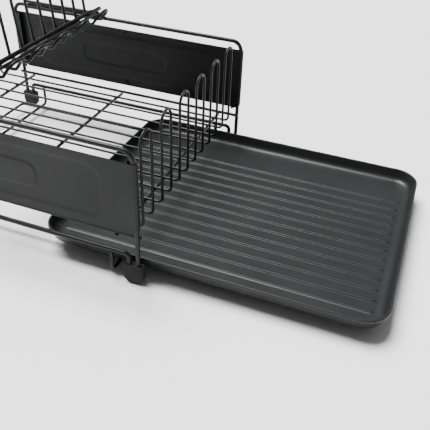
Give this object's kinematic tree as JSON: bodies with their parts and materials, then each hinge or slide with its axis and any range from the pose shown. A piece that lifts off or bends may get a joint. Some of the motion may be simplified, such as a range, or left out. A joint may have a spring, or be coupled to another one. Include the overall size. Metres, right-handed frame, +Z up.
{
  "type": "dish drying rack",
  "caption": "Wire dish drying rack with side panels, plate arches, rubber feet, a lift-off upper holder and a ribbed drip tray that slides out.",
  "frame": {"origin": "on the table, under the middle of the whole as it stands with the tray pulled out", "axes": "+X along the rack towards the pulled-out tray, +Y from front to rear, +Z up"},
  "size_m": [0.6706, 0.339, 0.2653],
  "materials": {
    "wire_coat": "satin black powder coat on steel wire",
    "panel_coat": "fine matt charcoal powder coat on pressed steel sheet",
    "rubber": "dark grey moulded rubber",
    "tray_plastic": "dark grey moulded plastic, satin"
  },
  "bodies": {
    "rack": {"front_side_frame": "wire_coat", "front_side_panel": "panel_coat", "front_panel_top_tab": "panel_coat", "front_panel_bottom_tab": "panel_coat", "front_left_foot_cap": "rubber", "front_right_foot_cap": "rubber", "front_base_rail": "wire_coat", "rear_side_frame": "wire_coat", "rear_side_panel": "panel_coat", "rear_panel_top_tab": "panel_coat", "rear_panel_bottom_tab": "panel_coat", "rear_left_foot_cap": "rubber", "rear_right_foot_cap": "rubber", "rear_base_rail": "wire_coat", "left_cross_wire": "wire_coat", "middle_cross_wire": "wire_coat", "right_cross_wire": "wire_coat", "plate_wire_1": "wire_coat", "plate_wire_2": "wire_coat", "plate_wire_3": "wire_coat", "plate_wire_4": "wire_coat", "plate_wire_5": "wire_coat", "plate_wire_6": "wire_coat", "left_tray_hanger": "wire_coat", "right_tray_hanger": "wire_coat", "tray_guide_loop": "wire_coat"},
    "tray": {"drip_tray": "tray_plastic"},
    "upper_holder": {"front_upper_end_rod": "wire_coat", "rear_upper_end_rod": "wire_coat", "upper_top_rod": "wire_coat", "upper_bottom_rod": "wire_coat", "upper_second_rod": "wire_coat", "upper_wire_1": "wire_coat", "upper_wire_2": "wire_coat", "upper_wire_3": "wire_coat", "upper_wire_4": "wire_coat", "upper_wire_5": "wire_coat", "upper_wire_6": "wire_coat"}
  },
  "joints": [
    {"name": "tray_slide", "type": "slide", "parent": "rack", "child": "tray", "axis": [1, 0, 0], "range_m": [-0.267, 0.04]},
    {"name": "upper_holder_lift", "type": "slide", "parent": "rack", "child": "upper_holder", "axis": [0, 0, 1], "range_m": [0, 0.06]}
  ]
}
